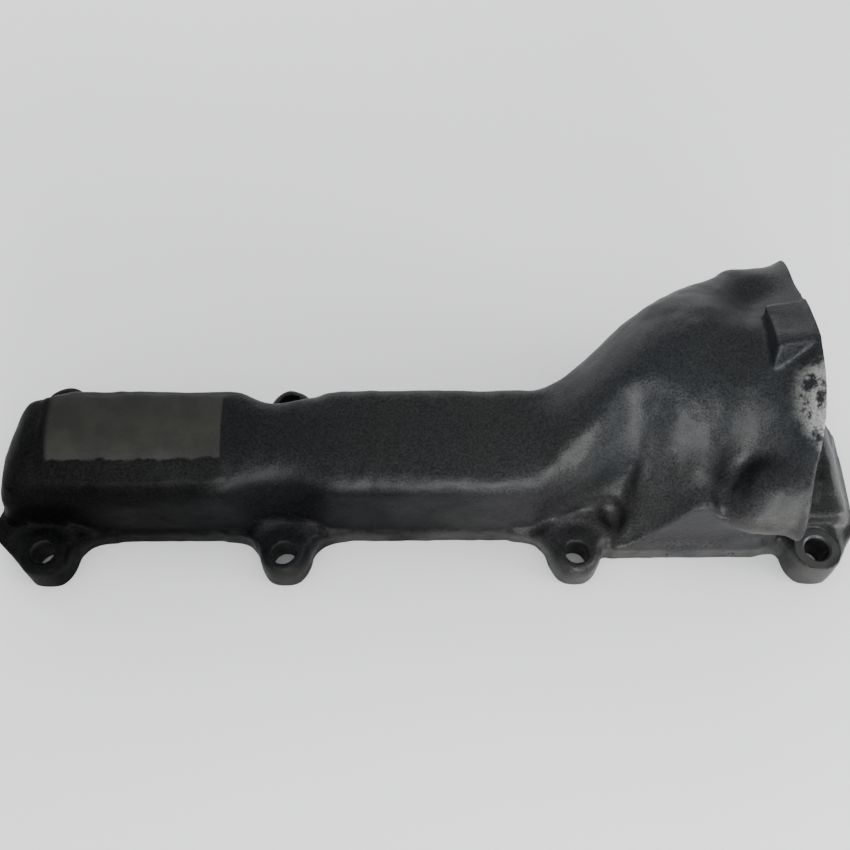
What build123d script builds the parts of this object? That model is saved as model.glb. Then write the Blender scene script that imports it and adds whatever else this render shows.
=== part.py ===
"""Log exhaust manifold for one bank of a V8 engine.

Millimetres. +X runs along the log to the outlet, +Z points away from the cylinder head,
and the origin is the centre of the eight-bolt pattern on the gasket face.
"""
import os
from math import cos, radians, sin

from build123d import *

# ---- driving dimensions ----
COLUMN_PITCH = 117.6          # outer bolt column to the next one, equal to the bore spacing
INNER_SPAN = 144.6            # between the two inner bolt columns
ROW_SPAN = 80.6               # front bolt row to rear bolt row
BOLT_HOLE_R = 6.1
EAR_R = 11.2
FRONT_EAR_HEIGHT = 19.6
REAR_EAR_HEIGHT = 26.0
EAR_ROOT = 16.0               # how near to the bore line an ear's stem starts
WRENCH_R = 16.0               # clearance round each head bolt above its ear
LOW_ROOM_TOP = 34.0           # under the elbow the clearance is only this high
SPOT_R = 14.0
FLANGE_THICK = 9.0
FLANGE_FRONT = -26.4
FLANGE_BACK = 27.5
FLANGE_LEFT = -217.0
FLANGE_RIGHT = 215.0
EAR_FLANK_R = 10.0            # concave corner from ear to flange edge

LOG_LEFT = -215.0
LOG_RIGHT = 96.0
LOG_HEIGHT = 63.0
LOG_FRONT = FLANGE_FRONT + 0.5
LOG_BACK = FLANGE_BACK - 0.5
LOG_DRAFT = 1.5               # how far the back leans in from base to top
SHOULDER_Y = -22.0            # the front leans back to this edge, then slopes to the flat top
SHOULDER_Z = 51.0
CREST_Y = -1.0                # front edge of the flat top
SHOULDER_R = 9.0
END_LEAN = 12.0               # how far the closed end leans in from base to top
END_R = 9.0
CAP_R = 12.0

MARK_LEFT = -186.0            # slightly raised field for the casting number, left blank
MARK_RIGHT = -97.0
MARK_FRONT = -18.0
MARK_BACK = 22.0
MARK_HEIGHT = 0.8

WALL = 7.0
BRANCH_ROOT = 68.0            # where the duct to the fourth port leaves the gallery
BRANCH_TOP = 22.0
BRANCH_HALF = 18.0
BRANCH_R = 6.5
PORT_LENGTH = 36.0            # along X
PORT_WIDTH = 37.0             # along Y
PORT_R = 9.0
PORT_DEPTH = 16.0
LAST_PORT_LENGTH = 28.0
LAST_PORT_SHIFT = 4.0         # the last port sits this much nearer to the outlet's plane

SKIRT_Y = -33.6               # front wall between the third and fourth columns
SKIRT_LEFT = 88.0
SKIRT_RIGHT = COLUMN_PITCH + INNER_SPAN / 2 - EAR_R
LEDGE_LEFT = 94.0
LEDGE_HEIGHT = 28.0           # roof over the fourth port, beyond the outlet face
LEDGE_RIGHT = 209.0
LEDGE_R = 9.0

OUTLET_X = 173.0              # machined outlet face
OUTLET_Y = 21.0
OUTLET_Z = 62.0
OUTLET_BORE_R = 33.0
OUTLET_TILT = 17.6            # stud line above the Y axis, degrees
RIM_LONG = 62.0
RIM_SHORT = 49.5
STUD_HALF = 53.5              # stud axis to bore axis
STUD_BOSS_R = 13.0
STUD_BOSS_LENGTH = 26.0
INSERT_R = 7.0
INSERT_BORE_R = 4.8
INSERT_LENGTH = 18.0
STUD_HOLE_DEPTH = 20.0
SEAT_R = 38.0
SEAT_DEPTH = 6.0
SEAT_MOUTH_R = 36.0

BLOCK_LENGTH = 19.0           # square block on the outlet collar, along X
BLOCK_WIDTH = 26.0
BLOCK_DEPTH = 26.0
BLOCK_Y = 29.7                # block centre
BLOCK_Z = 96.0
BLOCK_LEAN = 16.0             # its top leans towards the back, degrees
BLOCK_EDGE_R = 1.5

PIN_X = (118.5, 152.0)
PIN_Z = 4.2
PIN_R = 1.6
PIN_BORE_R = 0.8
PIN_LENGTH = 8.0

# elbow stations: X, centre Y, centre Z, radius
ELBOW = (
    (50.0, 2.0, 36.0, 24.0),
    (78.0, 15.5, 50.0, 31.0),
    (100.0, 28.5, 61.0, 34.0),
    (125.0, 35.8, 65.0, 38.0),
    (148.0, 34.0, 63.0, 41.0),
)
# the same for the gas way inside it
GAS_WAY = (
    (52.0, 0.0, 36.0, 17.0),
    (78.0, 12.0, 50.0, 23.0),
    (100.0, 26.0, 61.0, 27.0),
    (125.0, 34.0, 65.0, 31.0),
    (148.0, 32.0, 63.0, 33.0),
)
# gusset outlines, X and Z, in the plane of the front wall and near the elbow's axis
GUSSET_FRONT = ((94.0, 0.0), (98.0, 9.0), (127.0, 49.0), (152.0, 24.0), (168.0, 20.0), (168.0, 0.0))
GUSSET_REAR = ((94.0, 0.0), (101.0, 78.0), (118.0, 86.0), (142.0, 72.0), (168.0, 60.0), (168.0, 0.0))
GUSSET_REAR_Y = 2.0

COLUMNS = (
    -INNER_SPAN / 2 - COLUMN_PITCH,
    -INNER_SPAN / 2,
    INNER_SPAN / 2,
    INNER_SPAN / 2 + COLUMN_PITCH,
)
ROWS = (-ROW_SPAN / 2, ROW_SPAN / 2)
BOLTS = [(x, y) for x in COLUMNS for y in ROWS]
STUDS = [
    (OUTLET_Y + side * STUD_HALF * cos(radians(OUTLET_TILT)),
     OUTLET_Z + side * STUD_HALF * sin(radians(OUTLET_TILT)))
    for side in (-1, 1)
]


def cross_plane(x, y=0.0, z=0.0):
    """Plane square to X, with its own x along +Y and its own y along +Z."""
    return Plane(origin=(x, y, z), x_dir=(0, 1, 0), z_dir=(1, 0, 0))


def span_box(x0, x1, y0, y1, z0, z1):
    """Box given by its limits."""
    size = Box(x1 - x0, y1 - y0, z1 - z0, align=(Align.MIN, Align.MIN, Align.MIN))
    return Pos(x0, y0, z0) * size


def upright(x, y, z0, z1, radius):
    """Cylinder along Z."""
    rod = Cylinder(radius, z1 - z0, align=(Align.CENTER, Align.CENTER, Align.MIN))
    return Pos(x, y, z0) * rod


def along_x(x0, x1, y, z, radius):
    """Cylinder along X."""
    return extrude(cross_plane(x0, y, z) * Circle(radius), x1 - x0)


def ear_height(y):
    """Height of the bolt seat on an ear."""
    return REAR_EAR_HEIGHT if y > 0 else FRONT_EAR_HEIGHT


def ear(x, y):
    """One bolt ear: a round end and a stem that reaches under the log."""
    inner = EAR_ROOT if y > 0 else -EAR_ROOT
    stem = span_box(x - EAR_R, x + EAR_R, min(inner, y), max(inner, y), 0, ear_height(y))
    return stem + upright(x, y, 0, ear_height(y), EAR_R)


def flange_outline():
    """Gasket flange with all its ears, and a concave corner beside each ear."""
    length = FLANGE_RIGHT - FLANGE_LEFT
    width = FLANGE_BACK - FLANGE_FRONT
    middle = Pos((FLANGE_RIGHT + FLANGE_LEFT) / 2, (FLANGE_BACK + FLANGE_FRONT) / 2)
    shape = middle * Rectangle(length, width)
    for x, y in BOLTS:
        shape += Pos(x, y / 2) * Rectangle(2 * EAR_R, abs(y))
    corners = [
        v for v in shape.vertices()
        if min(abs(v.Y - FLANGE_FRONT), abs(v.Y - FLANGE_BACK)) < 0.01
        and FLANGE_LEFT + 1 < v.X < FLANGE_RIGHT - 1
    ]
    shape = fillet(corners, EAR_FLANK_R)
    for x, y in BOLTS:
        shape += Pos(x, y) * Circle(EAR_R)
    return shape


def log_section():
    """Section of the log: front leaning back to a shoulder, sloping top, plumb back."""
    outline = Polygon(
        (LOG_FRONT, 0), (LOG_BACK, 0), (LOG_BACK - LOG_DRAFT, LOG_HEIGHT),
        (CREST_Y, LOG_HEIGHT), (SHOULDER_Y, SHOULDER_Z), align=None
    )
    upper = [v for v in outline.vertices() if v.Y > 1]
    return fillet(upper, SHOULDER_R)


def upper_edges(face):
    """Edges of an end face, without the one on the gasket plane."""
    return face.edges().filter_by(lambda e: e.center().Z > 1)


def end_wedge(x):
    """Everything left of a leaning plane that starts at x on the gasket plane."""
    outline = Polygon((x - 1, 0), (x, 0), (x + END_LEAN, LOG_HEIGHT), (x - 1, LOG_HEIGHT), align=None)
    return extrude(Plane.XZ.offset(-2 * LOG_BACK) * outline, 4 * LOG_BACK)


def log_body():
    """The straight gallery casting, closed by a leaning end on the left."""
    body = extrude(cross_plane(LOG_LEFT) * log_section(), LOG_RIGHT - LOG_LEFT)
    body -= end_wedge(LOG_LEFT)
    body = fillet(upper_edges(body.faces().sort_by(Axis.X)[0]), END_R)
    return fillet(upper_edges(body.faces().sort_by(Axis.X)[-1]), CAP_R)


def mark_field():
    """Slightly raised field along the top of the log."""
    plate = cross_plane(MARK_LEFT) * offset(log_section(), MARK_HEIGHT)
    plate = extrude(plate, MARK_RIGHT - MARK_LEFT)
    top = LOG_HEIGHT + MARK_HEIGHT + 1
    return plate & span_box(MARK_LEFT, MARK_RIGHT, MARK_FRONT, MARK_BACK, SHOULDER_Z - 10, top)


def round_duct(stations, end_section):
    """Loft through round stations to a last section."""
    rings = [cross_plane(x, y, z) * Circle(radius) for x, y, z, radius in stations]
    return loft([*rings, end_section])


def elbow_outside():
    """The elbow that rises from the log and flares into the oval outlet rim."""
    rim = cross_plane(OUTLET_X, OUTLET_Y, OUTLET_Z) * Rot(0, 0, OUTLET_TILT) * Ellipse(
        RIM_LONG, RIM_SHORT
    )
    return round_duct(ELBOW, rim)


def elbow_inside():
    """The gas way through the elbow."""
    mouth = cross_plane(OUTLET_X, OUTLET_Y, OUTLET_Z) * Circle(OUTLET_BORE_R)
    return round_duct(GAS_WAY, mouth)


def gusset():
    """Inclined web between the elbow and the front wall beside the third bolt."""
    front = Plane(origin=(0, SKIRT_Y, 0), x_dir=(1, 0, 0), z_dir=(0, -1, 0))
    rear = Plane(origin=(0, GUSSET_REAR_Y, 0), x_dir=(1, 0, 0), z_dir=(0, -1, 0))
    low = front * Polygon(*GUSSET_FRONT, align=None)
    high = rear * Polygon(*GUSSET_REAR, align=None)
    return loft([low, high], ruled=True)


def skirt():
    """Wall and roof over the fourth port."""
    front = span_box(SKIRT_LEFT, SKIRT_RIGHT, SKIRT_Y, 0, 0, FLANGE_THICK)
    roof = span_box(LEDGE_LEFT, LEDGE_RIGHT, FLANGE_FRONT, LOG_BACK, 0, LEDGE_HEIGHT)
    top = roof.faces().sort_by(Axis.Z)[-1].edges()
    return front + fillet(top, LEDGE_R)


def rim_bosses():
    """Two round-backed stud bosses and the square block on the collar."""
    left = OUTLET_X - STUD_BOSS_LENGTH + STUD_BOSS_R
    bosses = [along_x(left, OUTLET_X, y, z, STUD_BOSS_R) for y, z in STUDS]
    bosses += [Pos(left, y, z) * Sphere(STUD_BOSS_R) for y, z in STUDS]
    block = Box(BLOCK_LENGTH, BLOCK_WIDTH, BLOCK_DEPTH)
    block = fillet(block.edges().filter_by(Axis.Z), BLOCK_EDGE_R)
    place = Pos(OUTLET_X - BLOCK_LENGTH / 2, BLOCK_Y, BLOCK_Z) * Rot(-BLOCK_LEAN, 0, 0)
    return [*bosses, place * block]


def wrench_room():
    """Clearance above each ear, sunk into the sides of the log.

    The elbow passes over the rear bolt of the third column, so that one is low.
    """
    front, rear = ROWS
    tall = [(x, y) for x, y in BOLTS if x < 0] + [(COLUMNS[2], front)]
    room = [upright(x, y, ear_height(y), LOG_HEIGHT + 1, WRENCH_R) for x, y in tall]
    room.append(upright(COLUMNS[2], rear, REAR_EAR_HEIGHT, LOW_ROOM_TOP, EAR_R))
    for y in ROWS:
        room.append(upright(COLUMNS[3], y, ear_height(y), LEDGE_HEIGHT + 1, SPOT_R))
    return room


def gas_way():
    """Everything the gas fills: gallery, fourth branch, ports and elbow."""
    def port(x, length):
        mouth = RectangleRounded(length, PORT_WIDTH, PORT_R)
        return Pos(x, 0, -1) * extrude(mouth, PORT_DEPTH)

    floor = FLANGE_THICK - 1
    length = LOG_RIGHT - LOG_LEFT - 2 * WALL
    gallery = extrude(cross_plane(LOG_LEFT + WALL) * offset(log_section(), -WALL), length)
    gallery -= span_box(LOG_LEFT, LOG_RIGHT, LOG_FRONT, LOG_BACK, 0, floor)
    gallery -= end_wedge(LOG_LEFT + WALL)
    branch = span_box(BRANCH_ROOT, LEDGE_RIGHT - WALL, -BRANCH_HALF, BRANCH_HALF, floor, BRANCH_TOP)
    branch = fillet(branch.edges().filter_by(Axis.X), BRANCH_R)
    ports = [port(x, PORT_LENGTH) for x in COLUMNS[:3]]
    last_port = port(COLUMNS[3] - LAST_PORT_SHIFT, LAST_PORT_LENGTH)
    return [gallery, branch, *ports, last_port, elbow_inside()]


def pin_holes(radius):
    """Bores or bodies of the two spring pins in the front wall."""
    faces = [Plane(origin=(x, SKIRT_Y, PIN_Z), x_dir=(1, 0, 0), z_dir=(0, 1, 0)) for x in PIN_X]
    return [extrude(face * Circle(radius), PIN_LENGTH) for face in faces]


def seat_ring():
    """Steel ring in the outlet, with a conical seat for the pipe's seal."""
    blank = along_x(OUTLET_X - SEAT_DEPTH, OUTLET_X, OUTLET_Y, OUTLET_Z, SEAT_R)
    cone = loft([
        cross_plane(OUTLET_X - SEAT_DEPTH, OUTLET_Y, OUTLET_Z) * Circle(OUTLET_BORE_R),
        cross_plane(OUTLET_X, OUTLET_Y, OUTLET_Z) * Circle(SEAT_MOUTH_R),
    ])
    return blank - cone


def stud_insert(y, z):
    """Threaded sleeve, drawn with a plain bore."""
    outer = along_x(OUTLET_X - INSERT_LENGTH, OUTLET_X, y, z, INSERT_R)
    return outer - along_x(OUTLET_X - INSERT_LENGTH, OUTLET_X, y, z, INSERT_BORE_R)


def casting():
    """The one-piece iron body."""
    body = extrude(flange_outline(), FLANGE_THICK)
    for x, y in BOLTS:
        body += ear(x, y)
    for piece in (log_body(), mark_field(), skirt(), gusset(), elbow_outside(), *rim_bosses()):
        body += piece
    for cut in wrench_room():
        body -= cut
    for x, y in BOLTS:
        body -= upright(x, y, -1, ear_height(y) + 1, BOLT_HOLE_R)
    for cut in gas_way():
        body -= cut
    body -= along_x(OUTLET_X - SEAT_DEPTH, OUTLET_X + 1, OUTLET_Y, OUTLET_Z, SEAT_R)
    for y, z in STUDS:
        body -= along_x(OUTLET_X - INSERT_LENGTH, OUTLET_X + 1, y, z, INSERT_R)
        body -= along_x(OUTLET_X - STUD_HOLE_DEPTH, OUTLET_X, y, z, INSERT_BORE_R)
    for cut in pin_holes(PIN_R):
        body -= cut
    return body


def write(name, shape):
    """Save one node as a STEP file."""
    export_step(shape, f"parts/{name}.step")


os.makedirs("parts", exist_ok=True)
write("manifold_casting", casting())
write("outlet_seat_ring", seat_ring())
for name, (y, z) in zip(("front_stud_insert", "rear_stud_insert"), STUDS):
    write(name, stud_insert(y, z))
pins = zip(("left_spring_pin", "right_spring_pin"), pin_holes(PIN_R), pin_holes(PIN_BORE_R))
for name, pin, bore in pins:
    write(name, pin - bore)
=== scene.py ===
"""Looks of the exhaust manifold: a sand-cast iron body with machined faces, on a pale floor.

The casting is a signed distance field in the model's frame, in millimetres. It is roughened with
seeded relief, meshed with openvdb, and then machined with exact cutters.
"""
import math

import bmesh
import bpy
import numpy as np
import openvdb
from mathutils import Matrix, Vector


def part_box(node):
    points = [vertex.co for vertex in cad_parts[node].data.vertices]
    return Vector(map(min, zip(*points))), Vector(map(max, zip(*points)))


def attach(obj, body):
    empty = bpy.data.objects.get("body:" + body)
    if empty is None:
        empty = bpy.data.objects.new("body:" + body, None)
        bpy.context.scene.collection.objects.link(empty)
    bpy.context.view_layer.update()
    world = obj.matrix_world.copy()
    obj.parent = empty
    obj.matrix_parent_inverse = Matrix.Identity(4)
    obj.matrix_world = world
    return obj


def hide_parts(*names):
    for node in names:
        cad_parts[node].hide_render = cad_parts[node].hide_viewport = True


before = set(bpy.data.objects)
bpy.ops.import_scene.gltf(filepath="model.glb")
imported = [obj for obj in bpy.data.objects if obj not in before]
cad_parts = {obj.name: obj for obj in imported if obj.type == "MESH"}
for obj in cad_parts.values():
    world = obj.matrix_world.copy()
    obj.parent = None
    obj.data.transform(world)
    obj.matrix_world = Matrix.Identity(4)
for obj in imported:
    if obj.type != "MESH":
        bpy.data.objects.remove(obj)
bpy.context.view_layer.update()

MM = 0.001


def node_box(name):
    """Lowest and highest corner of a CAD node, in millimetres."""
    return [np.array(corner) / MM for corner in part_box(name)]


# ---- places read from the frame ----
casting_low, casting_high = node_box("manifold_casting")
ring_low, ring_high = node_box("outlet_seat_ring")
INSERTS = [node_box("front_stud_insert"), node_box("rear_stud_insert")]
PINS = [node_box("left_spring_pin"), node_box("right_spring_pin")]

FLANGE_LEFT = casting_low[0]
FLANGE_RIGHT = casting_high[0]
OUTLET_X = ring_high[0]
OUTLET_Y, OUTLET_Z = (ring_low + ring_high)[1:] / 2
SEAT_R = (ring_high[1] - ring_low[1]) / 2
SEAT_DEPTH = ring_high[0] - ring_low[0]
STUDS = [tuple((low + high)[1:] / 2) for low, high in INSERTS]
STUD_HALF = math.dist(*STUDS) / 2
OUTLET_TILT = math.atan2(STUDS[1][1] - STUDS[0][1], STUDS[1][0] - STUDS[0][0])
INSERT_R = (INSERTS[0][1][1] - INSERTS[0][0][1]) / 2
INSERT_LENGTH = INSERTS[0][1][0] - INSERTS[0][0][0]
SKIRT_Y = PINS[0][0][1]
BLOCK_TOP = casting_high[2]

# ---- other sizes, millimetres ----
COLUMN_PITCH = 117.6
INNER_SPAN = 144.6
ROW_Y = 40.3
COLUMNS = (-INNER_SPAN / 2 - COLUMN_PITCH, -INNER_SPAN / 2, INNER_SPAN / 2,
           INNER_SPAN / 2 + COLUMN_PITCH)
BOLT_HOLE_R = 6.1
EAR_R = 11.2
EAR_DRAFT = 0.02                # growth of an ear's radius per millimetre downwards
EAR_REACH = 29.0                # half the length over which an ear's flanks leave the flange
EAR_FILLET = 23.0
EAR_FLAT = 9.0                  # half width of an ear's level top
EAR_FALL = 15.0                 # width over which the top then falls to the flange
FRONT_EAR_HEIGHT = 19.6
REAR_EAR_HEIGHT = 26.0
FLANGE_THICK = 9.0
FLANGE_FRONT = -26.2
FLANGE_BACK = 27.5
EDGE_R = 1.2                    # small round along the flange's edges
LOG_LEFT = FLANGE_LEFT + 2.0
LOG_RIGHT = 108.0               # the log fades into the elbow here
LOG_HEIGHT = 63.0
LOG_FOOT_Z = 6.0
LOG_CROWN = 22.0                # width of the sloping part of the top
END_LEAN = 11.0                 # how far the closed end leans over the log's height
END_TOP_BEVEL = 18.0
END_BACK_BEVEL = 20.5
WALL = 7.0
THIN_WALL = 5.5                 # the least iron left between a duct and the open air
BRANCH_HALF = 18.0
BRANCH_TOP = 22.0
PORT_LENGTH = 36.0
LAST_PORT_LENGTH = 28.0
LAST_PORT_SHIFT = -4.0
PORT_WIDTH = 37.0
OUTLET_BORE_R = 33.0
RIM_R = 49.5
STUD_BOSS_R = 13.0
INSERT_BORE_R = 4.8
STUD_HOLE_DEPTH = 20.0
FLARE_START = 147.0
FLARE_POWER = 1.9               # the higher, the later the collar widens
ELBOW_LEFT = 50.0
WEB_LEFT = 95.5
WEB_LEAN = 0.1
WEB_DEPTH = 37.0
WEB_FILLET = 13.0
VALLEY_R = 15.5
LEDGE_HEIGHT = 28.0
LEDGE_SLOPE = 0.5
MARK = (-186.0, -97.0, -18.0, 22.0)
MARK_HEIGHT = 0.8
BLOCK_LEAN = math.radians(16)
BLOCK_LENGTH = 19.5
BLOCK_WIDTH = 28.0
BLOCK_Y = 21.0
BLOCK_SKEW = 0.2
STEP = (84.0, 186.0)            # left and right ends of the step under the web
FRONT_SPOT_R = 12.6             # radius of the flat seats round the bolt holes
LAST_SPOT_R = 11.0
SEAT_CLEARANCE = 4.0            # free height above a seat

# webs from an end ear to the flange's corner: ear x, y, corner x, y, radius at the corner
CORNER_WEBS = (
    (COLUMNS[0], -ROW_Y, -203.3, -25.3, 13.2),
    (COLUMNS[3], -ROW_Y, 204.3, -24.0, 9.8),
    (COLUMNS[3], ROW_Y, 201.0, 24.5, 10.2),
)
# scoops over the head bolts: bolt x, side, radius at the foot, widening per millimetre, edge
SCOOPS = (
    (COLUMNS[0], -1, 13.2, 0.20, 6),
    (COLUMNS[0], 1, 15.0, 0.05, 6),
    (COLUMNS[1], -1, 12.8, 0.41, 12),
    (COLUMNS[1], 1, 15.0, 0.09, 12),
    (COLUMNS[2], -1, 12.8, 0.26, 12),
)

# stations along the elbow and the duct inside it: x, centre y, centre z, radius
ELBOW = np.array((
    (50.0, 2.0, 34.0, 26.0),
    (78.0, 15.5, 50.0, 31.0),
    (100.0, 28.5, 61.0, 34.0),
    (125.0, 35.2, 64.5, 37.5),
    (148.0, 31.5, 60.5, 37.0),
    (173.0, 24.0, 60.0, 38.0),
))
GAS_WAY = np.array((
    (52.0, 0.0, 36.0, 17.0),
    (78.0, 12.0, 50.0, 23.0),
    (100.0, 26.0, 61.0, 27.0),
    (125.0, 34.0, 65.0, 31.0),
    (148.0, 32.0, 63.0, OUTLET_BORE_R),
    (173.0, 21.0, 62.0, OUTLET_BORE_R),
))
# the front shoulder of the log: x, y, z
SHOULDER = np.array((
    (-190.0, -24.0, 43.0),
    (-130.0, -23.5, 43.0),
    (-95.0, -22.5, 49.0),
    (-72.0, -22.0, 53.0),
    (-38.0, -22.5, 49.5),
    (0.0, -22.5, 51.0),
    (45.0, -21.0, 51.0),
    (77.0, -5.0, 50.0),
    (104.0, 14.0, 52.0),
))
# top of the web beside the third bolt: x, z at the front wall, z at the elbow
WEB = np.array((
    (90.0, 2.0, 75.0),
    (97.0, 8.0, 76.0),
    (112.0, 29.0, 79.0),
    (124.0, 48.5, 81.0),
    (131.0, 50.0, 81.0),
    (137.0, 41.5, 77.0),
    (145.0, 30.5, 69.0),
    (156.0, 24.0, 60.0),
    (170.0, 18.0, 53.0),
))

# ---- distance field ----
VOXEL = 1.25
GRID_LOW = np.array((-222.0, -58.0, -6.0))
GRID_HIGH = np.array((222.0, 92.0, 120.0))
COUNTS = np.ceil((GRID_HIGH - GRID_LOW) / VOXEL).astype(int) + 1
AXES = [GRID_LOW[i] + VOXEL * np.arange(COUNTS[i]) for i in range(3)]
FAR = 50.0
MARGIN = 14.0                   # how far round a shape the field is worked out
BELOW = -3.0                    # shapes reach this low, and the gasket face is cut later
LEAN_SCALE = 0.85               # turns a height over a leaning surface into a distance
SCOOP_SCALE = 0.95
SEED = 8
COARSE_RELIEF, COARSE_CELL = 0.25, 13.0
FINE_RELIEF, FINE_CELL = 0.12, 4.5
field = np.full(COUNTS, FAR, np.float32)


def window(low, high):
    """Grid slices for a box, and its coordinates as open arrays."""
    cuts = []
    for i in range(3):
        first = max(int((low[i] - MARGIN - GRID_LOW[i]) / VOXEL), 0)
        last = min(int((high[i] + MARGIN - GRID_LOW[i]) / VOXEL) + 2, int(COUNTS[i]))
        cuts.append(slice(first, last))
    x, y, z = (AXES[i][cuts[i]].astype(np.float32) for i in range(3))
    return tuple(cuts), x[:, None, None], y[None, :, None], z[None, None, :]


def soft_min(a, b, k):
    """Union of two distances with a fillet of about k."""
    if k <= 0:
        return np.minimum(a, b)
    h = np.maximum(k - np.abs(a - b), 0.0) / k
    return np.minimum(a, b) - h * h * k * 0.25


def soft_max(a, b, k):
    """Intersection of two distances with a rounded edge of about k."""
    return -soft_min(-a, -b, k)


def join(low, high, shape, k):
    """Add a shape to the field, blended over k."""
    cuts, x, y, z = window(low, high)
    field[cuts] = soft_min(field[cuts], shape(x, y, z).astype(np.float32), k)


def carve(low, high, shape, k):
    """Take a shape away from the field, with a rounded edge of about k."""
    cuts, x, y, z = window(low, high)
    field[cuts] = soft_max(field[cuts], -shape(x, y, z).astype(np.float32), k)


def smooth_curve(knots, column, t):
    """Smooth curve through one column of the knots, whose first column is t."""
    at, values = knots[:, 0], knots[:, column]
    t = np.clip(t, at[0], at[-1])
    slopes = np.gradient(values, at)
    i = np.clip(np.searchsorted(at, t, side="right") - 1, 0, len(at) - 2)
    h = at[i + 1] - at[i]
    u = (t - at[i]) / h
    return ((2 * u**3 - 3 * u**2 + 1) * values[i] + (u**3 - 2 * u**2 + u) * h * slopes[i]
            + (3 * u**2 - 2 * u**3) * values[i + 1] + (u**3 - u**2) * h * slopes[i + 1])


def box_distance(x, y, z, box, r):
    """Box with edges rounded to r."""
    x0, x1, y0, y1, z0, z1 = box
    qx = np.abs(x - (x0 + x1) / 2) - (x1 - x0) / 2 + r
    qy = np.abs(y - (y0 + y1) / 2) - (y1 - y0) / 2 + r
    qz = np.abs(z - (z0 + z1) / 2) - (z1 - z0) / 2 + r
    outside = np.sqrt(np.maximum(qx, 0) ** 2 + np.maximum(qy, 0) ** 2 + np.maximum(qz, 0) ** 2)
    inside = np.minimum(np.maximum(np.maximum(qx, qy), qz), 0)
    return outside + inside - r


def capsule_distance(x, y, z, start, end, r0, r1):
    """Round rod between two points, with a radius that changes along it."""
    ax, ay, az = start
    dx, dy, dz = (e - s for s, e in zip(start, end))
    t = ((x - ax) * dx + (y - ay) * dy + (z - az) * dz) / (dx * dx + dy * dy + dz * dz)
    t = np.clip(t, 0, 1)
    reach = np.sqrt((x - ax - t * dx) ** 2 + (y - ay - t * dy) ** 2 + (z - az - t * dz) ** 2)
    return reach - r0 - t * (r1 - r0)


def hull_distance(y, z):
    """Outline of the two-bolt outlet flange: one big circle and two small ones."""
    c, s = math.cos(OUTLET_TILT), math.sin(OUTLET_TILT)
    dy, dz = y - OUTLET_Y, z - OUTLET_Z
    a = np.abs(dy * c + dz * s)
    b = np.abs(dz * c - dy * s)
    k = (RIM_R - STUD_BOSS_R) / STUD_HALF
    t = math.sqrt(1 - k * k)
    along = a * t - b * k
    edge = a * k + b * t - RIM_R
    middle = np.hypot(a, b) - RIM_R
    end = np.hypot(a - STUD_HALF, b) - STUD_BOSS_R
    return np.where(along < 0, middle, np.where(along > STUD_HALF * t, end, edge))


def duct_distance(x, y, z, stations):
    """Round duct along X through stations of centre and radius."""
    cy, cz, r = (smooth_curve(stations, i, x) for i in (1, 2, 3))
    return (np.hypot(y - cy, z - cz) - r) * LEAN_SCALE


def build_flange():
    """Gasket flange with eight ears."""
    box = (FLANGE_LEFT, FLANGE_RIGHT, FLANGE_FRONT, FLANGE_BACK, BELOW, FLANGE_THICK)
    join(box[0::2], box[1::2], lambda x, y, z: box_distance(x, y, z, box, EDGE_R), 0)
    step = (*STEP, SKIRT_Y, 0, BELOW, FLANGE_THICK)
    join(step[0::2], step[1::2], lambda x, y, z: box_distance(x, y, z, step, EDGE_R), 6)
    for cx in COLUMNS:
        add_ear(cx, -ROW_Y, FRONT_EAR_HEIGHT)
        add_ear(cx, ROW_Y, REAR_EAR_HEIGHT)
    for web in CORNER_WEBS:
        add_corner_web(*web, FRONT_EAR_HEIGHT)


def add_ear(cx, cy, height):
    """One bolt ear: its flanks curve into the flange and its top slopes down beside the bolt."""
    front = FLANGE_FRONT if cy < 0 else FLANGE_BACK
    side = 1 if cy > 0 else -1

    def ear(x, y, z):
        boss = np.hypot(x - cx, y - cy) - EAR_R - EAR_DRAFT * (height - z)
        stem = np.maximum(np.abs(x - cx) - EAR_R, side * (y - cy))
        flange = np.maximum(side * (y - front), np.abs(x - cx) - EAR_REACH)
        plan = soft_min(np.minimum(boss, stem), flange, EAR_FILLET)
        beside = np.clip((np.abs(x - cx) - EAR_FLAT) / EAR_FALL, 0, 1)
        fall = beside * beside * (3 - 2 * beside)
        top = z - height - 0.5 + (height - FLANGE_THICK) * fall
        ends = np.maximum(x - FLANGE_RIGHT, FLANGE_LEFT - x) + 0.4
        d = soft_max(soft_max(plan, top * LEAN_SCALE, 1.5), ends, 2)
        return soft_max(d, BELOW - z, 0)
    reach, out = EAR_REACH + 3, EAR_R + 0.8
    low = (cx - reach, min(0, cy - out), BELOW)
    join(low, (cx + reach, max(0, cy + out), height + 2), ear, 5)


def add_corner_web(ax, ay, bx, by, radius, height):
    """Web from an end ear to the corner of the flange."""
    def web(x, y, z):
        t = ((x - ax) * (bx - ax) + (y - ay) * (by - ay)) / ((bx - ax) ** 2 + (by - ay) ** 2)
        t = np.clip(t, 0, 1)
        side = np.hypot(x - ax - t * (bx - ax), y - ay - t * (by - ay))
        side = side - EAR_R - t * (radius - EAR_R)
        d = soft_max(side, z - height + 4 * t, EDGE_R)
        return soft_max(d, BELOW - z, 0)
    low = (min(ax, bx) - 14, min(ay, by) - 14, BELOW)
    join(low, (max(ax, bx) + 14, max(ay, by) + 14, height), web, 3)


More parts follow.
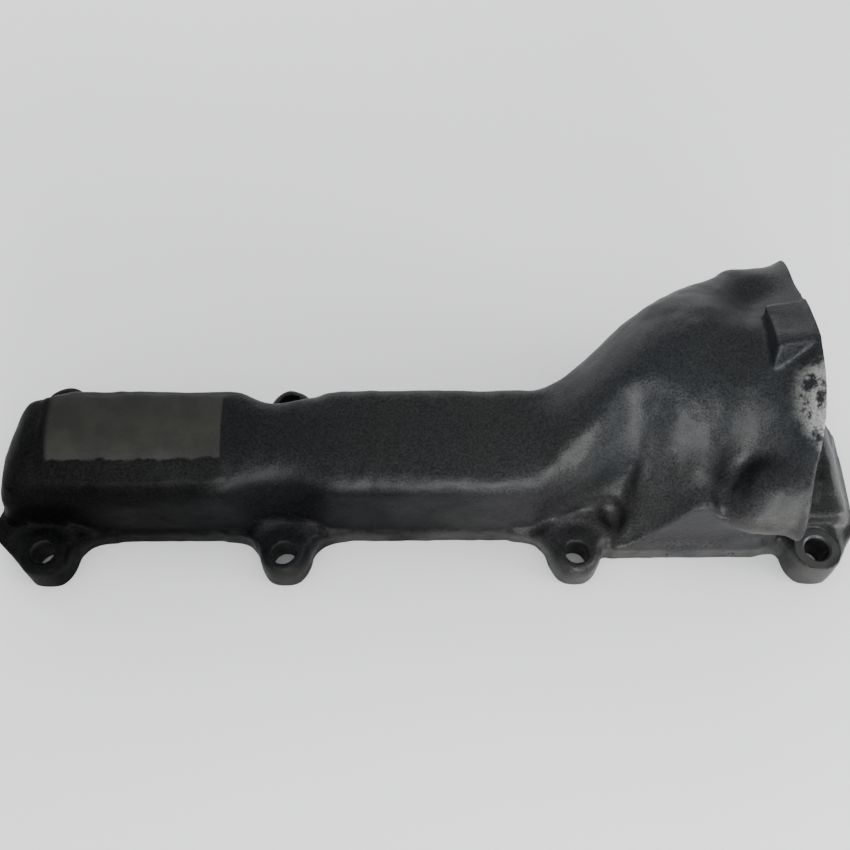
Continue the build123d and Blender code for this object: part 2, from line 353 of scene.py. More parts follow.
def log_distance(x, y, z):
    """Gallery section: front leaning back to a shoulder, sloping top, plumb back, leaning end."""
    shoulder_y, shoulder_z = smooth_curve(SHOULDER, 1, x), smooth_curve(SHOULDER, 2, x)
    foot_y, foot_z = FLANGE_FRONT + 0.6, LOG_FOOT_Z
    run, rise = shoulder_y - foot_y, shoulder_z - foot_z
    front = ((z - foot_z) * run - (y - foot_y) * rise) / np.hypot(run, rise)
    slope = np.arctan2(LOG_HEIGHT - shoulder_z, LOG_CROWN)
    chamfer = (z - shoulder_z) * np.cos(slope) - (y - shoulder_y) * np.sin(slope)
    d = soft_max(soft_max(chamfer, z - LOG_HEIGHT, 9), front, 7)
    d = soft_max(d, y - FLANGE_BACK + 0.3, 8)
    # the closed end and its two bevels; the last factor of each turns a slope into a distance
    end = (LOG_LEFT + END_LEAN * z / LOG_HEIGHT - x) * 0.98
    top_bevel = (LOG_LEFT + END_TOP_BEVEL - x + 0.8 * (z - LOG_HEIGHT + 4)) * 0.78
    back_bevel = (LOG_LEFT + END_BACK_BEVEL - x + 0.9 * (y - FLANGE_BACK + 3)) * 0.743
    end = soft_max(soft_max(end, top_bevel, 8), back_bevel, 10)
    d = soft_max(d, end, 8)
    return soft_max(soft_max(d, x - LOG_RIGHT, 16), BELOW - z, 0)


def build_log():
    """The gallery, and the raised field for a casting number along its top."""
    join((LOG_LEFT, -30, BELOW), (LOG_RIGHT + 4, 30, LOG_HEIGHT), log_distance, 4)
    x0, x1, y0, y1 = MARK

    def mark(x, y, z):
        plan = box_distance(x, y, z, (x0, x1, y0, y1, 40.0, 80.0), 1.5)
        return np.maximum(plan, log_distance(x, y, z) - MARK_HEIGHT)
    join((x0, y0, 40), (x1, y1, LOG_HEIGHT), mark, 0.8)


def build_elbow():
    """Elbow tube from the log to the collar, then the collar's flare to the oval rim."""
    def elbow(x, y, z):
        body = duct_distance(x, y, z, ELBOW)
        t = np.clip((x - FLARE_START) / (OUTLET_X - 0.5 - FLARE_START), 0, 1) ** FLARE_POWER
        body = body * (1 - t) + hull_distance(y, z) * t
        body = soft_max(body, ELBOW_LEFT - x, 20)
        return soft_max(body, x - OUTLET_X - 2, 1.5)
    join((40, -54, BELOW), (OUTLET_X + 3, 90, 116), elbow, 12)


def build_web():
    """Web beside the third bolt, with a plumb front and a nearly plumb left end."""
    def web(x, y, z):
        t = np.clip((y - SKIRT_Y) / WEB_DEPTH, 0, 1)
        top = smooth_curve(WEB, 1, x) * (1 - t) + smooth_curve(WEB, 2, x) * t
        d = (z - top) / 2.0
        d = soft_max(d, SKIRT_Y - y, 1.0)
        d = soft_max(d, WEB_LEFT + WEB_LEAN * z - x, 1.5)
        d = soft_max(d, x - OUTLET_X + 12, 3)
        d = soft_max(d, y - 10, 3)
        return soft_max(d, BELOW - z, 0)
    join((92, SKIRT_Y, BELOW), (OUTLET_X, 22, 92), web, WEB_FILLET)
    foot = (148, 172, SKIRT_Y, -18, BELOW, 22.0)
    join(foot[0::2], foot[1::2], lambda x, y, z: box_distance(x, y, z, foot, 1.5), 4)


def build_port_four():
    """Low housing over the fourth port, with a dent and a rough lump beside the collar."""
    def housing(x, y, z):
        d = box_distance(x, y, z, (130, 240, -26.8, FLANGE_BACK, BELOW, LEDGE_HEIGHT), 3.0)
        slope = (x - FLANGE_RIGHT + 1.8 + LEDGE_SLOPE * (z - FLANGE_THICK)) * 0.9
        return soft_max(d, slope, 7)
    join((130, -30, BELOW), (214, FLANGE_BACK, LEDGE_HEIGHT), housing, 4)
    lump = (188.5, -17.0, LEDGE_HEIGHT - 2.0), (190.0, -13.5, LEDGE_HEIGHT - 2.2)
    dent = (193.5, -6.0, LEDGE_HEIGHT + 1.6), (196.5, 3.0, LEDGE_HEIGHT + 1.8)
    join((180, -24, 20), (196, -8, 32),
         lambda x, y, z: capsule_distance(x, y, z, *lump, 3.4, 2.8), 2.5)
    carve((186, -14, 22), (202, 10, 36),
          lambda x, y, z: capsule_distance(x, y, z, *dent, 3.4, 3.4), 3)


def build_bosses():
    """Stud bosses on the collar, and the shoulders that run into them."""
    (fy, fz), (ry, rz) = STUDS
    end, beyond = OUTLET_X + 3, OUTLET_X + 23
    rear_left = (150, ry - 1, rz)

    def front_boss(x, y, z):
        rod = capsule_distance(x, y, z, (155, fy, fz), (beyond, fy, fz), STUD_BOSS_R, STUD_BOSS_R)
        return soft_max(rod, x - end, 1)

    def front_shoulder(x, y, z):
        start, stop = (160, fy + 6, fz + 13), (beyond, fy + 6, fz + 13)
        rod = capsule_distance(x, y, z, start, stop, 11.0, 11.0)
        return soft_max(rod, x - OUTLET_X - 0.5, 6)

    def rear_boss(x, y, z):
        arm = capsule_distance(x, y, z, (113, 49, 84), rear_left, 5.0, STUD_BOSS_R - 1.0)
        rod = capsule_distance(x, y, z, rear_left, (beyond, ry, rz),
                               STUD_BOSS_R - 1.0, STUD_BOSS_R - 0.2)
        return soft_max(np.minimum(arm, rod), x - OUTLET_X - 0.5, 6)
    join((140, fy - 14, fz - 14), (end, fy + 14, fz + 14), front_boss, 13)
    join((140, fy - 8, fz), (end, fy + 24, fz + 30), front_shoulder, 8)
    join((104, 44, 64), (end, ry + 14, rz + 14), rear_boss, 12)


def build_block():
    """Square block on top of the collar, leaning back and a little askew."""
    end = OUTLET_X + 3
    box = (OUTLET_X - BLOCK_LENGTH, OUTLET_X + 9, 0, BLOCK_WIDTH, -30, 0)

    def block(x, y, z):
        up = (z - BLOCK_TOP) * math.cos(BLOCK_LEAN) + (y - BLOCK_Y) * math.sin(BLOCK_LEAN)
        along = (y - BLOCK_Y) * math.cos(BLOCK_LEAN) - (z - BLOCK_TOP) * math.sin(BLOCK_LEAN)
        skew = along - BLOCK_SKEW * (x - OUTLET_X)
        return soft_max(box_distance(x, skew, up, box, EDGE_R), x - end, 1)
    join((150, 8, 80), (end, 50, BLOCK_TOP), block, 2.5)


def carve_wrench_room():
    """Scoops above the head bolts, widening upwards."""
    for cx, side, radius, flare, k in SCOOPS:
        cy = side * ROW_Y
        foot = FRONT_EAR_HEIGHT if side < 0 else REAR_EAR_HEIGHT
        reach = radius + flare * (LOG_HEIGHT - foot) + 2

        def room(x, y, z):
            wall = np.hypot(x - cx, y - cy) - radius - flare * (z - foot)
            return soft_max(wall * SCOOP_SCALE, foot - z, 1.5)
        carve((cx - reach, cy - reach, foot - 4), (cx + reach, cy + reach, LOG_HEIGHT), room, k)


def carve_valley():
    """Soft valley between the log and the left end of the web."""
    rod = (86.0, -38.0, 36.0), (95.0, -5.0, 90.0), VALLEY_R, VALLEY_R
    low, high = (66.0, -60.0, 12.0), (112.0, 12.0, 106.0)
    carve(low, high, lambda x, y, z: capsule_distance(x, y, z, *rod), 8)


def carve_gas_way():
    """Gallery, branch to the fourth port, ports and elbow, with iron left around the ducts."""
    outside = field.copy()

    def carve_duct(low, high, shape):
        cuts, x, y, z = window(low, high)
        walled = soft_max(shape(x, y, z), outside[cuts] + THIN_WALL, 3).astype(np.float32)
        field[cuts] = soft_max(field[cuts], -walled, 1)

    def gallery(x, y, z):
        d = soft_max(log_distance(x, y, z) + WALL, FLANGE_THICK - 1 - z, 2)
        return soft_max(d, x - 90.0, 4)
    carve_duct((LOG_LEFT, -24, 4), (96, 24, LOG_HEIGHT), gallery)
    branch = (68.0, 202.0, -BRANCH_HALF, BRANCH_HALF, FLANGE_THICK - 1, BRANCH_TOP)
    carve_duct(branch[0::2], branch[1::2], lambda x, y, z: box_distance(x, y, z, branch, 6.0))
    # near the outlet the duct runs at its full bore
    outside[int((OUTLET_X - 16 - GRID_LOW[0]) / VOXEL):] = -FAR
    carve_duct((52, -20, 16), (OUTLET_X + 3, 70, 100), lambda x, y, z: soft_max(
        duct_distance(x, y, z, GAS_WAY), 53.0 - x, 4))
    for cx in COLUMNS:
        last = cx == COLUMNS[3]
        half = (LAST_PORT_LENGTH if last else PORT_LENGTH) / 2
        middle = cx + (LAST_PORT_SHIFT if last else 0)
        port = (middle - half, middle + half, -PORT_WIDTH / 2, PORT_WIDTH / 2, BELOW - 9, 16.0)
        carve(port[0::2], port[1::2], lambda x, y, z: box_distance(x, y, z, port, 8.0), 1)


def soften(box, fade, passes):
    """Blurs the field inside a box, less and less towards its sides."""
    cuts, x, y, z = window(box[0::2], box[1::2])
    block = field[cuts]
    blurred = block.copy()
    for _ in range(passes):
        for axis in range(3):
            before = np.roll(blurred, 1, axis)
            blurred = 0.5 * blurred + 0.25 * (before + np.roll(blurred, -1, axis))
    share = np.clip(-box_distance(x, y, z, box, 1.0) / fade, 0, 1)
    field[cuts] = block + (blurred - block) * share


def keep_in_box():
    """Trims what the fillets and the relief put outside the casting's own box."""
    x, y, z = np.ix_(*AXES)
    low, high = casting_low, casting_high
    room = (low[0], high[0], low[1], high[1], -20.0, high[2])
    field[:] = soft_max(field, box_distance(x, y, z, room, 0.5).astype(np.float32), 2)


def soft_noise(cell, rng):
    """Smooth random values over the grid, one lattice point each cell."""
    values = rng.normal(size=[int(n * VOXEL / cell) + 3 for n in COUNTS]).astype(np.float32)
    for axis in range(3):
        at = np.arange(COUNTS[axis]) * VOXEL / cell
        i = at.astype(int)
        f = (at - i).astype(np.float32)
        f = f * f * (3 - 2 * f)
        f = f.reshape([-1 if a == axis else 1 for a in range(3)])
        values = np.take(values, i, axis) * (1 - f) + np.take(values, i + 1, axis) * f
    return values


def field_mesh(name):
    """Mesh of the field's zero surface, in metres."""
    grid = openvdb.FloatGrid(FAR)
    grid.copyFromArray(np.ascontiguousarray(field))
    grid.transform = openvdb.createLinearTransform(voxelSize=VOXEL)
    points, quads = grid.convertToQuads(0.0)
    points = (np.asarray(points) + GRID_LOW) * MM
    mesh = bpy.data.meshes.new(name)
    mesh.from_pydata(points.tolist(), [], np.asarray(quads).tolist())
    mesh.update()
    return mesh


# ---- the casting, built up and then carved ----
# boxes whose surface is softened: x, y and z ranges
WEB_FRONT = (110.0, 168.0, SKIRT_Y + 3.0, 30.0, 20.0, 100.0)
BOSS_ROOT = (137.0, 161.0, -50.0, 14.0, 26.0, 84.0)
WEB_CREST = (100.0, 166.0, -14.0, 48.0, 52.0, 104.0)
VALLEY = (60.0, 100.0, -50.0, 0.0, 21.0, 84.0)

build_flange()
build_log()
build_elbow()
build_web()
soften(WEB_FRONT, 6.0, 34)
build_port_four()
build_bosses()
build_block()
soften(BOSS_ROOT, 6.0, 12)
soften(WEB_CREST, 8.0, 36)
carve_wrench_room()
carve_valley()
soften(VALLEY, 7.0, 40)
for cx in COLUMNS[:3]:
    soften((cx - 34.0, cx + 34.0, -50.0, -14.0, FRONT_EAR_HEIGHT - 0.1, 44.0), 6.0, 14)
carve_gas_way()
random = np.random.default_rng(SEED)
relief = COARSE_RELIEF * soft_noise(COARSE_CELL, random)
field += relief + FINE_RELIEF * soft_noise(FINE_CELL, random)
keep_in_box()

casting = bpy.data.objects.new("casting_body", field_mesh("casting_body"))
bpy.context.scene.collection.objects.link(casting)


# ---- machining ----
def cutter_object(fill):
    """Closed cutter made by a function that fills a bmesh in millimetres."""
    bm = bmesh.new()
    fill(bm)
    bm.transform(Matrix.Scale(MM, 4))
    bmesh.ops.recalc_face_normals(bm, faces=bm.faces)
    mesh = bpy.data.meshes.new("cutter")
    bm.to_mesh(mesh)
    bm.free()
    obj = bpy.data.objects.new("cutter", mesh)
    bpy.context.scene.collection.objects.link(obj)
    return obj


def add_lathe(bm, start, axis, profile, sides=72):
    """Closed solid of revolution; the profile gives distance along the axis and radius."""
    turn = Vector(axis).to_track_quat("Z", "Y").to_matrix()
    rings = []
    for along, radius in profile:
        ring = []
        for i in range(sides):
            angle = math.tau * i / sides
            point = Vector((radius * math.cos(angle), radius * math.sin(angle), along))
            ring.append(bm.verts.new(Vector(start) + turn @ point))
        rings.append(ring)
    for a, b in zip(rings, rings[1:]):
        for i in range(sides):
            bm.faces.new((a[i], a[(i + 1) % sides], b[(i + 1) % sides], b[i]))
    bm.faces.new(rings[0][::-1])
    bm.faces.new(rings[-1])


def add_block(bm, box):
    """Plain box."""
    x0, x1, y0, y1, z0, z1 = box
    place = Matrix.Translation(((x0 + x1) / 2, (y0 + y1) / 2, (z0 + z1) / 2))
    size = Matrix.Diagonal((x1 - x0, y1 - y0, z1 - z0, 1))
    bmesh.ops.create_cube(bm, size=1.0, matrix=place @ size)


def cut(obj, fill):
    """Boolean difference, applied."""
    cutter = cutter_object(fill)
    mod = obj.modifiers.new("cut", "BOOLEAN")
    mod.operation = "DIFFERENCE"
    mod.solver = "MANIFOLD"
    mod.object = cutter
    graph = bpy.context.evaluated_depsgraph_get()
    mesh = bpy.data.meshes.new_from_object(obj.evaluated_get(graph))
    old = obj.data
    obj.modifiers.clear()
    obj.data = mesh
    mesh.name = obj.name
    bpy.data.meshes.remove(old)
    bpy.data.objects.remove(cutter)


def cut_bolt_hole(cx, cy, seat):
    """Bolt hole with a small chamfer, and the flat seat round it."""
    start = -5.0
    rise = seat - start
    spot = LAST_SPOT_R if cx == COLUMNS[3] else FRONT_SPOT_R
    cut(casting, lambda bm: add_lathe(bm, (cx, cy, start), (0, 0, 1), (
        (0, BOLT_HOLE_R), (rise - 1.0, BOLT_HOLE_R), (rise, BOLT_HOLE_R + 1.0),
        (rise + 0.01, spot), (rise + SEAT_CLEARANCE, spot))))


def cut_stud_hole(sy, sz):
    """Stepped hole for an insert."""
    step = STUD_HOLE_DEPTH - INSERT_LENGTH
    cut(casting, lambda bm: add_lathe(bm, (OUTLET_X - STUD_HOLE_DEPTH, sy, sz), (1, 0, 0), (
        (0, INSERT_BORE_R), (step, INSERT_BORE_R),
        (step + 0.01, INSERT_R), (STUD_HOLE_DEPTH + 1, INSERT_R))))


def cut_pin_hole(low, high):
    """Blind hole for a spring pin."""
    x, _, z = (low + high) / 2
    radius = (high[0] - low[0]) / 2
    cut(casting, lambda bm: add_lathe(bm, (x, low[1] - 4, z), (0, 1, 0), (
        (0, radius), (high[1] - low[1] + 4, radius))))


cut(casting, lambda bm: add_block(bm, (-240, 240, -70, 100, -20, 0)))
cut(casting, lambda bm: add_block(bm, (OUTLET_X, OUTLET_X + 10, -60, 95, 29.5, 125)))
for cx in COLUMNS:
    cut_bolt_hole(cx, -ROW_Y, FRONT_EAR_HEIGHT)
    cut_bolt_hole(cx, ROW_Y, REAR_EAR_HEIGHT)
cut(casting, lambda bm: add_lathe(bm, (OUTLET_X - SEAT_DEPTH, OUTLET_Y, OUTLET_Z), (1, 0, 0), (
    (0, SEAT_R), (SEAT_DEPTH + 2, SEAT_R))))
for stud in STUDS:
    cut_stud_hole(*stud)
for pin in PINS:
    cut_pin_hole(*pin)

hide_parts("manifold_casting")
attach(casting, "root")


# ---- colours and tones ----
COOL_IRON = (0.0058, 0.0068, 0.0082)
OLIVE_IRON = (0.0070, 0.0074, 0.0069)
PURPLE_IRON = (0.0070, 0.0066, 0.0080)
PALE_IRON = (0.012, 0.012, 0.011)
FIELD_IRON = (0.0235, 0.0240, 0.0205)
FIELD_STAIN = (0.0185, 0.0190, 0.0172)
# colour of worn edges, and of the painted highlight on the collar
WORN_AND_GLINT_IRON = (0.22, 0.22, 0.21)
MILLED_IRON = (0.015, 0.015, 0.0145)
TURNED_IRON = (0.16, 0.155, 0.15)
TURNED_STEEL = (0.36, 0.35, 0.34)
BLUED_STEEL = (0.003, 0.003, 0.004)
RUBBED_BLUE = (0.012, 0.011, 0.010)
STAIN = (0.035, 0.022, 0.014)
PAPER = (0.90, 0.90, 0.905)
PAPER_DRIFT = (0.93, 0.93, 0.93)
SKY = (0.97, 0.985, 1.0, 1.0)
SKY_STRENGTH = 1.12
LEFT_PAINTED_LIGHT = 0.3                 # painted light: how light the iron is made at the closed end
RIGHT_PAINTED_LIGHT = 1.38               # and at the outlet
GRAIN = 0.0011                  # size of the sand grain
GRAIN_HEIGHT = 0.0002
FACE_PITCH = 0.0006             # tool marks on the turned outlet face
STEEL_PITCH = 0.0005
MILL_PITCH = 0.0011
FIELD = (-0.1835, -0.0990, -0.0100, 0.0235)     # number field: left, right, front, back


# ---- materials: all coordinates are the model's own, in metres ----
class Look:
    """One node material under construction."""

    def __init__(self, name):
        self.material = bpy.data.materials.new(name)
        self.material.use_nodes = True
        self.tree = self.material.node_tree
        self.surface = self.tree.nodes["Principled BSDF"]
        self.place = self.add("ShaderNodeTexCoord").outputs["Object"]

    def add(self, kind, **settings):
        node = self.tree.nodes.new(kind)
        for key, value in settings.items():
            setattr(node, key, value)
        return node

    def feed(self, socket, value):
        if isinstance(value, bpy.types.NodeSocket):
            self.tree.links.new(value, socket)
        else:
            socket.default_value = value

    def maths(self, operation, a, b=0.0, clamp=False):
        node = self.add("ShaderNodeMath", operation=operation, use_clamp=clamp)
        self.feed(node.inputs[0], a)
        self.feed(node.inputs[1], b)
        return node.outputs[0]

    def times(self, value, *factors):
        """Product of all the values."""
        for factor in factors:
            value = self.maths("MULTIPLY", value, factor)
        return value

    def noise(self, size, detail=2.0, rough=0.5, shift=0.0):
        """Values about 0.5 that change over about the given size in metres."""
        node = self.add("ShaderNodeTexNoise")
        moved = self.add("ShaderNodeVectorMath", operation="ADD")
        self.feed(moved.inputs[0], self.place)
        moved.inputs[1].default_value = (shift, shift, shift)
        self.feed(node.inputs["Vector"], moved.outputs[0])
        node.inputs["Scale"].default_value = 1.0 / size
        node.inputs["Detail"].default_value = detail
        node.inputs["Roughness"].default_value = rough
        return node.outputs["Fac"]

    def ramp(self, value, low, high, to_low=0.0, to_high=1.0):
        """Smooth step of a value from one range to another."""
        node = self.add("ShaderNodeMapRange", interpolation_type="SMOOTHSTEP")
        self.feed(node.inputs["Value"], value)
        for name, number in (("From Min", low), ("From Max", high),
                             ("To Min", to_low), ("To Max", to_high)):
            node.inputs[name].default_value = number
        return node.outputs["Result"]

    def blend(self, fac, a, b):
        """Colour that goes from a to b."""
        node = self.add("ShaderNodeMix", data_type="RGBA")
        self.feed(node.inputs[0], fac)
        for socket, value in ((node.inputs[6], a), (node.inputs[7], b)):
            self.feed(socket, (*value, 1.0) if isinstance(value, tuple) else value)
        return node.outputs[2]

    def scale(self, color, factor):
        """A colour made lighter or darker."""
        node = self.add("ShaderNodeVectorMath", operation="SCALE")
        self.feed(node.inputs[0], color)
        self.feed(node.inputs["Scale"], factor)
        return node.outputs[0]

    def axes(self):
        """Place on the model along X, Y and Z."""
        node = self.add("ShaderNodeSeparateXYZ")
        self.feed(node.inputs[0], self.place)
        return node.outputs

    def facing(self):
        """How far the surface faces along X, Y and Z."""
        node = self.add("ShaderNodeSeparateXYZ")
        self.feed(node.inputs[0], self.add("ShaderNodeNewGeometry").outputs["Normal"])
        return node.outputs

    def edges(self, low, high):
        """Rises on outward edges."""
        return self.ramp(self.add("ShaderNodeNewGeometry").outputs["Pointiness"], low, high)

    def bump(self, height, distance, strength=1.0, under=None):
        node = self.add("ShaderNodeBump")
        node.inputs["Strength"].default_value = strength
        node.inputs["Distance"].default_value = distance
        self.feed(node.inputs["Height"], height)
        if under is not None:
            self.feed(node.inputs["Normal"], under)
        return node.outputs["Normal"]

    def radius(self, y, z):
        """Distance from a line along X."""
        node = self.add("ShaderNodeVectorMath", operation="DISTANCE")
        flat = self.add("ShaderNodeVectorMath", operation="MULTIPLY")
        self.feed(flat.inputs[0], self.place)
        flat.inputs[1].default_value = (0.0, 1.0, 1.0)
        self.feed(node.inputs[0], flat.outputs[0])
        node.inputs[1].default_value = (0.0, y, z)
        return node.outputs["Value"]

    def finish(self, color, rough, normal, metallic=0.0, specular=0.5):
        self.feed(self.surface.inputs["Base Color"], color)
        self.feed(self.surface.inputs["Roughness"], rough)
        self.feed(self.surface.inputs["Normal"], normal)
        self.feed(self.surface.inputs["Metallic"], metallic)
        self.feed(self.surface.inputs["Specular IOR Level"], specular)
        return self.material


def sand_cast_iron():
    """Dark oiled cast iron: sand grain, drifting tint, worn edges and a smooth number field, with
    painted light and shade: lighter towards the outlet, paler back and right-end faces, darker low
    fronts and a painted highlight on the collar.
    """
    look = Look("cast_iron")
    x, y, z = look.axes()
    across, ahead, upward = look.facing()

    # tint drifts between blue grey, olive and a hint of purple
    tint = look.blend(look.ramp(look.noise(0.07, 3.0), 0.38, 0.62), COOL_IRON, OLIVE_IRON)
    tint = look.blend(look.ramp(look.noise(0.05, 2.0, shift=3.0), 0.5, 0.75), tint, PURPLE_IRON)
    # painted light: the iron is made darker at the closed end and lighter towards the outlet
    painted_light = look.ramp(x, -0.2, 0.2, LEFT_PAINTED_LIGHT, RIGHT_PAINTED_LIGHT)
    # painted light: faces turned to the back are made paler, and faces turned right at the far
    # right end much paler
    painted_light = look.maths("MAXIMUM", painted_light, look.ramp(ahead, 0.6, 0.85, 0.0, 1.5))
    painted_end_light = look.times(look.ramp(across, 0.2, 0.7), look.ramp(x, 0.18, 0.20))
    mottle = look.ramp(look.noise(0.006, 4.0, 0.65, shift=7.0), 0.3, 0.7, 0.9, 1.1)
    grain = look.noise(GRAIN, 3.0, 0.7)
    speck = look.ramp(grain, 0.3, 0.7, 0.7, 1.3)
    # painted shade: darker low on faces that do not face up, strongest away from the outlet
    painted_low_shade = look.times(look.ramp(z, 0.053, 0.043), look.ramp(x, 0.14, -0.06),
                      look.ramp(look.noise(0.03, 3.0, shift=8.0), 0.25, 0.55, 0.7, 1.0),
                      look.ramp(upward, 0.9, 0.6))
    # the iron's own mottle and speck, times the painted light and the painted shade
    tone_and_painted_light = look.times(painted_light, look.ramp(painted_end_light, 0.0, 1.0, 1.0, 3.5), mottle, speck,
                      look.ramp(painted_low_shade, 0.0, 1.0, 1.0, 0.4))

    # number field: matte, finer, with a ragged lower edge
    ragged = look.times(look.maths("SUBTRACT", look.noise(0.005, 3.0), 0.5), 0.004)
    low_edge = look.maths("ADD", y, ragged)
    inside = look.times(look.ramp(x, FIELD[0], FIELD[0] + 0.003),
                        look.ramp(x, FIELD[1], FIELD[1] - 0.001),
                        look.ramp(low_edge, FIELD[2], FIELD[2] + 0.0012),
                        look.ramp(y, FIELD[3], FIELD[3] - 0.003),
                        look.ramp(z, 0.054, 0.056))

    # edges rubbed bright, more where the grain stands up
    worn = look.times(look.edges(0.54, 0.6), look.ramp(grain, 0.42, 0.62),
                      look.ramp(look.noise(0.012, 2.0, shift=5.0), 0.35, 0.6))
    # the flange's edge and the ears' fronts are a little paler from grinding; this pale band is
    # also painted light, kept to front-facing faces
    low = look.maths("MAXIMUM", look.ramp(z, 0.0105, 0.0085), look.ramp(y, -0.034, -0.042))
    ground_band_and_light = look.times(low, look.ramp(ahead, -0.3, -0.7),
                      look.ramp(look.noise(0.02, 3.0, shift=9.0), 0.35, 0.6))
    # painted highlight: a bright, glossy, speckled patch on the collar beside the outlet
    rub_and_glint = look.times(look.ramp(x, 0.160, 0.170), look.ramp(y, 0.014, 0.006),
                     look.ramp(z, 0.084, 0.096), look.ramp(across, 0.95, 0.8),
                     look.ramp(look.noise(0.006, 4.0, 0.6, shift=2.0), 0.38, 0.55),
                     look.ramp(grain, 0.35, 0.6, 0.5, 1.0))

    # painted light: the pale band grows much lighter towards the outlet
    ground_iron_and_light = look.scale(PALE_IRON, look.ramp(x, -0.2, 0.15, 0.35, 2.7))
    color = look.blend(look.times(ground_band_and_light, 0.6), look.scale(tint, tone_and_painted_light), ground_iron_and_light)
    drift = look.ramp(look.noise(0.012, 3.0, shift=6.0), 0.35, 0.65)
    color = look.blend(look.times(inside, 0.92), color, look.blend(drift, FIELD_IRON, FIELD_STAIN))
    color = look.blend(look.times(worn, 0.15), color, WORN_AND_GLINT_IRON)
    color = look.blend(look.times(rub_and_glint, 0.8), color, WORN_AND_GLINT_IRON)

    rough = look.ramp(look.noise(0.02, 3.0, 0.6, shift=4.0), 0.3, 0.7, 0.38, 0.46)
    rough = look.maths("ADD", rough, look.ramp(grain, 0.3, 0.7, -0.07, 0.12))
    rough = look.maths("ADD", rough, look.times(inside, 0.2))
    rough = look.maths("SUBTRACT", rough, look.times(worn, 0.1), clamp=True)
    gloss = look.times(look.ramp(x, -0.22, 0.05, 0.05, 0.175),
                       look.ramp(grain, 0.3, 0.7, 0.65, 1.35),
                       look.ramp(painted_low_shade, 0.0, 1.0, 1.0, 0.35))
    gloss = look.maths("ADD", gloss, look.times(rub_and_glint, 0.9))

    calm = look.maths("SUBTRACT", 1.0, look.times(inside, 0.8))
    coarse = look.bump(look.noise(0.004, 2.0, 0.5, shift=1.0), 0.0003, 0.3)
    fine = look.bump(look.times(grain, calm), GRAIN_HEIGHT, 1.0, coarse)
    return look.finish(color, rough, fine, 0.0, gloss)


def turned_metal(name, color, y, z, pitch, rough):
    """Metal turned about a line along X, with tool rings, stains, flecks and pits."""
    look = Look(name)
    ring = look.maths("SINE", look.times(look.radius(y, z), math.tau / pitch))
    stain = look.ramp(look.noise(0.012, 4.0, 0.6), 0.35, 0.65)
    tint = look.blend(look.times(stain, 0.6), color, tuple(0.45 * c for c in color))
    fleck = look.ramp(look.noise(0.0012, 2.0, shift=2.0), 0.58, 0.7, 0.0, 0.5)
    tint = look.blend(fleck, tint, STAIN)
    dull = look.ramp(look.noise(0.006, 3.0, 0.6, shift=4.0), 0.3, 0.7, rough, rough + 0.2)
    grooves = look.bump(ring, 0.00003, 0.6)
    pits = look.bump(look.noise(0.0008, 3.0), 0.00008, 0.4, grooves)
    return look.finish(tint, dull, pits, 0.85)


def milled_iron():
    """The gasket face and bolt seats: milled flat once, now dull and stained."""
    look = Look("milled_iron")
    x, y, _ = look.axes()
    along = look.maths("ADD", x, look.times(y, 0.25))
    passes = look.maths("SINE", look.times(along, math.tau / MILL_PITCH))
    stain = look.ramp(look.noise(0.018, 4.0, 0.6), 0.35, 0.65)
    # painted light: the milled face is made lighter towards the outlet
    painted_light = look.ramp(x, -0.2, 0.2, 1.2, 1.8)
    color = look.scale(look.blend(stain, MILLED_IRON, COOL_IRON), painted_light)
    dull = look.ramp(look.noise(0.007, 3.0, 0.6, shift=4.0), 0.3, 0.7, 0.38, 0.6)
    marks = look.bump(passes, 0.00003, 0.5)
    pits = look.bump(look.noise(0.0012, 3.0, shift=6.0), 0.0001, 0.5, marks)
    return look.finish(color, dull, pits, 0.2, 0.35)


def blued_steel():
    """Spring pin: blued steel with rubbed spots."""
    look = Look("dark_steel")
    rub_and_glint = look.ramp(look.noise(0.0015, 3.0), 0.5, 0.7)
    color = look.blend(rub_and_glint, BLUED_STEEL, RUBBED_BLUE)
    dull = look.ramp(look.noise(0.0008, 2.0, shift=2.0), 0.3, 0.7, 0.5, 0.7)
    return look.finish(color, dull, look.bump(look.noise(0.0005), 0.00004, 0.5), 0.4, 0.2)


casting.data.materials.clear()
casting.data.materials.append(sand_cast_iron())
casting.data.materials.append(milled_iron())
casting.data.materials.append(turned_metal(
    "turned_iron", TURNED_IRON, OUTLET_Y * MM, OUTLET_Z * MM, FACE_PITCH, 0.35))


def mark_machined(mesh):
    """Gives the cut faces their own slots: 1 for milled and bored faces, 2 for turned ones."""
    count = len(mesh.polygons)
    centre = np.empty(count * 3, np.float32)
    normal = np.empty(count * 3, np.float32)
    mesh.polygons.foreach_get("center", centre)
    mesh.polygons.foreach_get("normal", normal)
    centre, normal = centre.reshape(-1, 3) / MM, normal.reshape(-1, 3)
    slots = np.zeros(count, np.int32)
    slots[(centre[:, 2] < 0.01) & (normal[:, 2] < -0.99)] = 1
    for cx in COLUMNS:
        for cy, seat in ((-ROW_Y, FRONT_EAR_HEIGHT), (ROW_Y, REAR_EAR_HEIGHT)):
            away = np.hypot(centre[:, 0] - cx, centre[:, 1] - cy)
            flat = (normal[:, 2] > 0.99) & (np.abs(centre[:, 2] - seat) < 0.05) & (away < 14)
            bore = (np.abs(normal[:, 2]) < 0.9) & (away < BOLT_HOLE_R + 1.05)
            bore &= centre[:, 2] < seat + 0.1
            slots[flat | bore] = 1
    for face_x in (OUTLET_X, OUTLET_X - SEAT_DEPTH):
        slots[(np.abs(centre[:, 0] - face_x) < 0.05) & (normal[:, 0] > 0.99)] = 2
    mesh.polygons.foreach_set("material_index", slots)
    mesh.polygons.foreach_set("use_smooth", slots == 0)


mark_machined(casting.data)

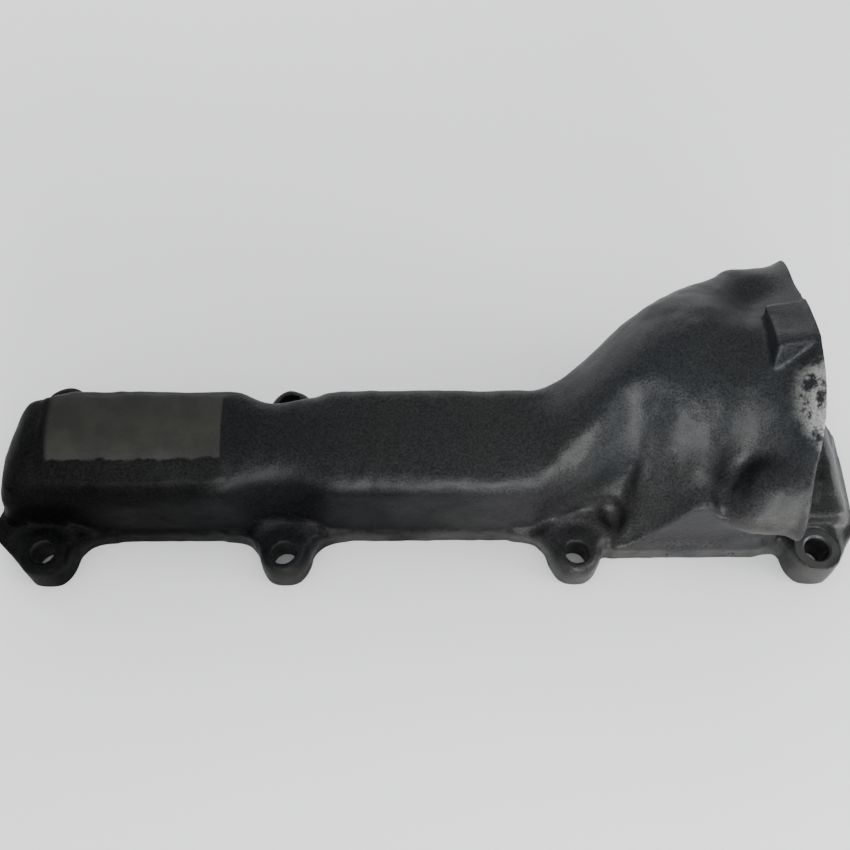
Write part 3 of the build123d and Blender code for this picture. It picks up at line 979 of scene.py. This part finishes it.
for name, (y, z) in (("outlet_seat_ring", (OUTLET_Y, OUTLET_Z)),
                     ("front_stud_insert", STUDS[0]), ("rear_stud_insert", STUDS[1])):
    steel = turned_metal(name + "_steel", TURNED_STEEL, y * MM, z * MM, STEEL_PITCH, 0.28)
    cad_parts[name].data.materials[0] = steel
blued = blued_steel()
for name in ("left_spring_pin", "right_spring_pin"):
    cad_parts[name].data.materials[0] = blued

# ---- stage ----
bpy.ops.mesh.primitive_plane_add(size=8, location=(0, 0, -0.0002))
floor = bpy.context.object
floor.name = "floor"
paper = Look("paper")
pale = paper.blend(paper.noise(0.3, 3.0), PAPER, PAPER_DRIFT)
tooth = paper.bump(paper.noise(0.0008), 0.00005, 0.2)
floor.data.materials.append(paper.finish(pale, 0.9, tooth, 0.0, 0.2))

world = bpy.data.worlds.new("world")
bpy.context.scene.world = world
world.use_nodes = True
sky = world.node_tree.nodes["Background"]
sky.inputs["Color"].default_value = SKY
sky.inputs["Strength"].default_value = SKY_STRENGTH


def softbox(name, place, target, width, height, power):
    """Rectangular area light aimed at a point."""
    data = bpy.data.lights.new(name, "AREA")
    data.shape = "RECTANGLE"
    data.size, data.size_y, data.energy = width, height, power
    light = bpy.data.objects.new(name, data)
    bpy.context.scene.collection.objects.link(light)
    turn = (Vector(target) - Vector(place)).to_track_quat("-Z", "Y").to_matrix().to_4x4()
    light.matrix_world = Matrix.Translation(place) @ turn


# lights: name, place, target, width, height, watts
for light in (
    ("key", (0.12, -0.85, 0.17), (0.08, 0.0, 0.04), 0.46, 0.22, 13.0),
    ("top", (0.1, -0.1, 1.7), (0.0, 0.0, 0.0), 1.6, 1.2, 3.0),
    ("back", (-0.3, 1.2, 0.5), (0.0, 0.0, 0.03), 2.0, 0.9, 14.0),
    ("side", (0.95, -0.3, 0.16), (0.2, 0.0, 0.03), 0.4, 0.25, 9.0),
):
    softbox(*light)

# the camera that was fitted to the photo's bolt holes
PITCH, YAW, ROLL = (math.radians(a) for a in (60.358, 0.682, 0.436))
EYE = Vector((-5.425, -241.40, 496.40)) * MM
camera_data = bpy.data.cameras.new("camera")
camera_data.sensor_width = 36.0
camera_data.lens = 44.47
camera_data.clip_start = 0.01
camera = bpy.data.objects.new("camera", camera_data)
bpy.context.scene.collection.objects.link(camera)
look = Vector((math.sin(YAW) * math.cos(PITCH), math.cos(YAW) * math.cos(PITCH), -math.sin(PITCH)))
right = look.cross(Vector((0, 0, 1))).normalized()
up = right.cross(look)
right, up = (math.cos(ROLL) * right + math.sin(ROLL) * up,
             math.cos(ROLL) * up - math.sin(ROLL) * right)
turn = Matrix((right, up, -look)).transposed().to_4x4()
camera.matrix_world = Matrix.Translation(EYE) @ turn
bpy.context.scene.camera = camera
